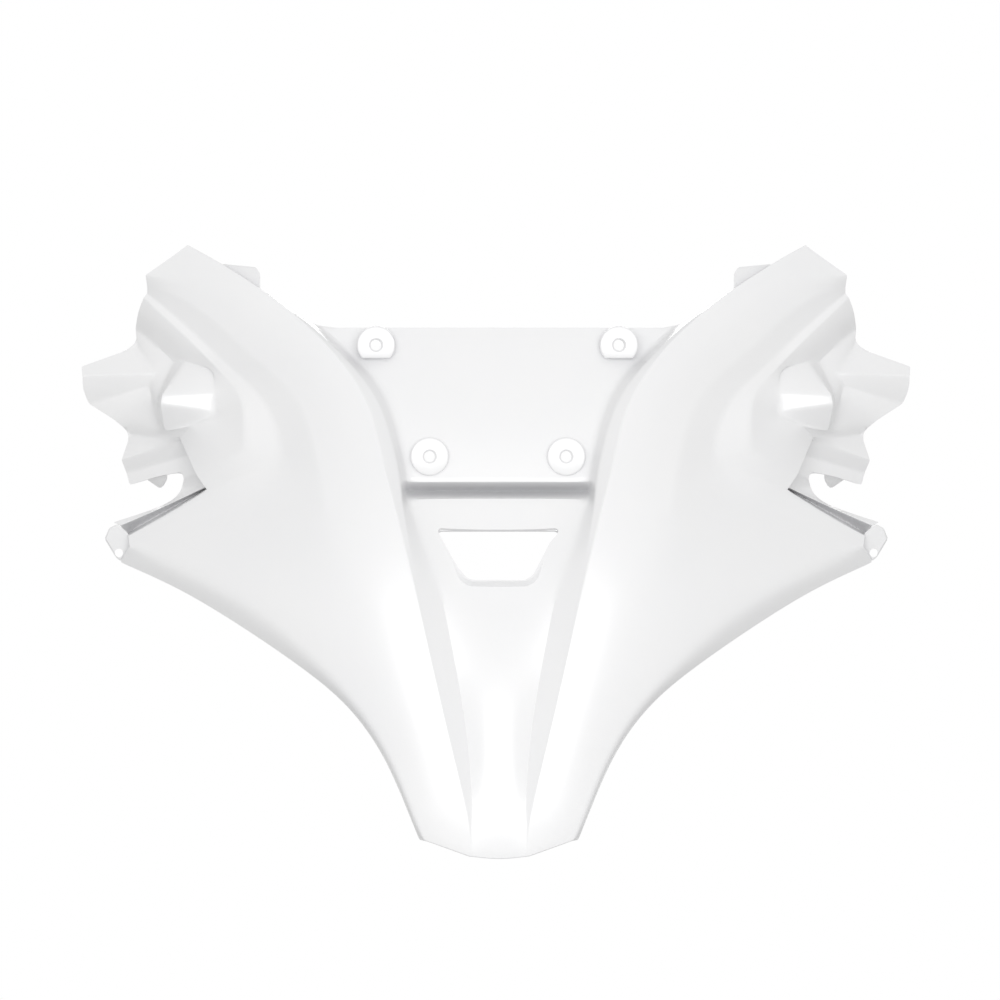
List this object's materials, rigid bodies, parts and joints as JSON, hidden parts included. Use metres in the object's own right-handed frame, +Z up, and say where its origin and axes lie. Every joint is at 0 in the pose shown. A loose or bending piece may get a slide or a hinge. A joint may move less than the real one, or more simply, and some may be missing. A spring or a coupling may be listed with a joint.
{
  "type": "motorbike headlight cover",
  "caption": "Moulded front cover for a motorbike's headlight: swept arms, lamp pockets, a recessed bolting plate, wings and a vented nose.",
  "frame": {"origin": "midway between the lower bolt holes, on the front faces of their bosses", "axes": "+X to the right seen from the front, -Y forward out of the nose, +Z up"},
  "size_m": [0.5, 0.1562, 0.3683],
  "materials": {
    "white_gloss": "glossy moulded white"
  },
  "bodies": {
    "root": {"headlight_cover": "white_gloss"}
  },
  "joints": []
}
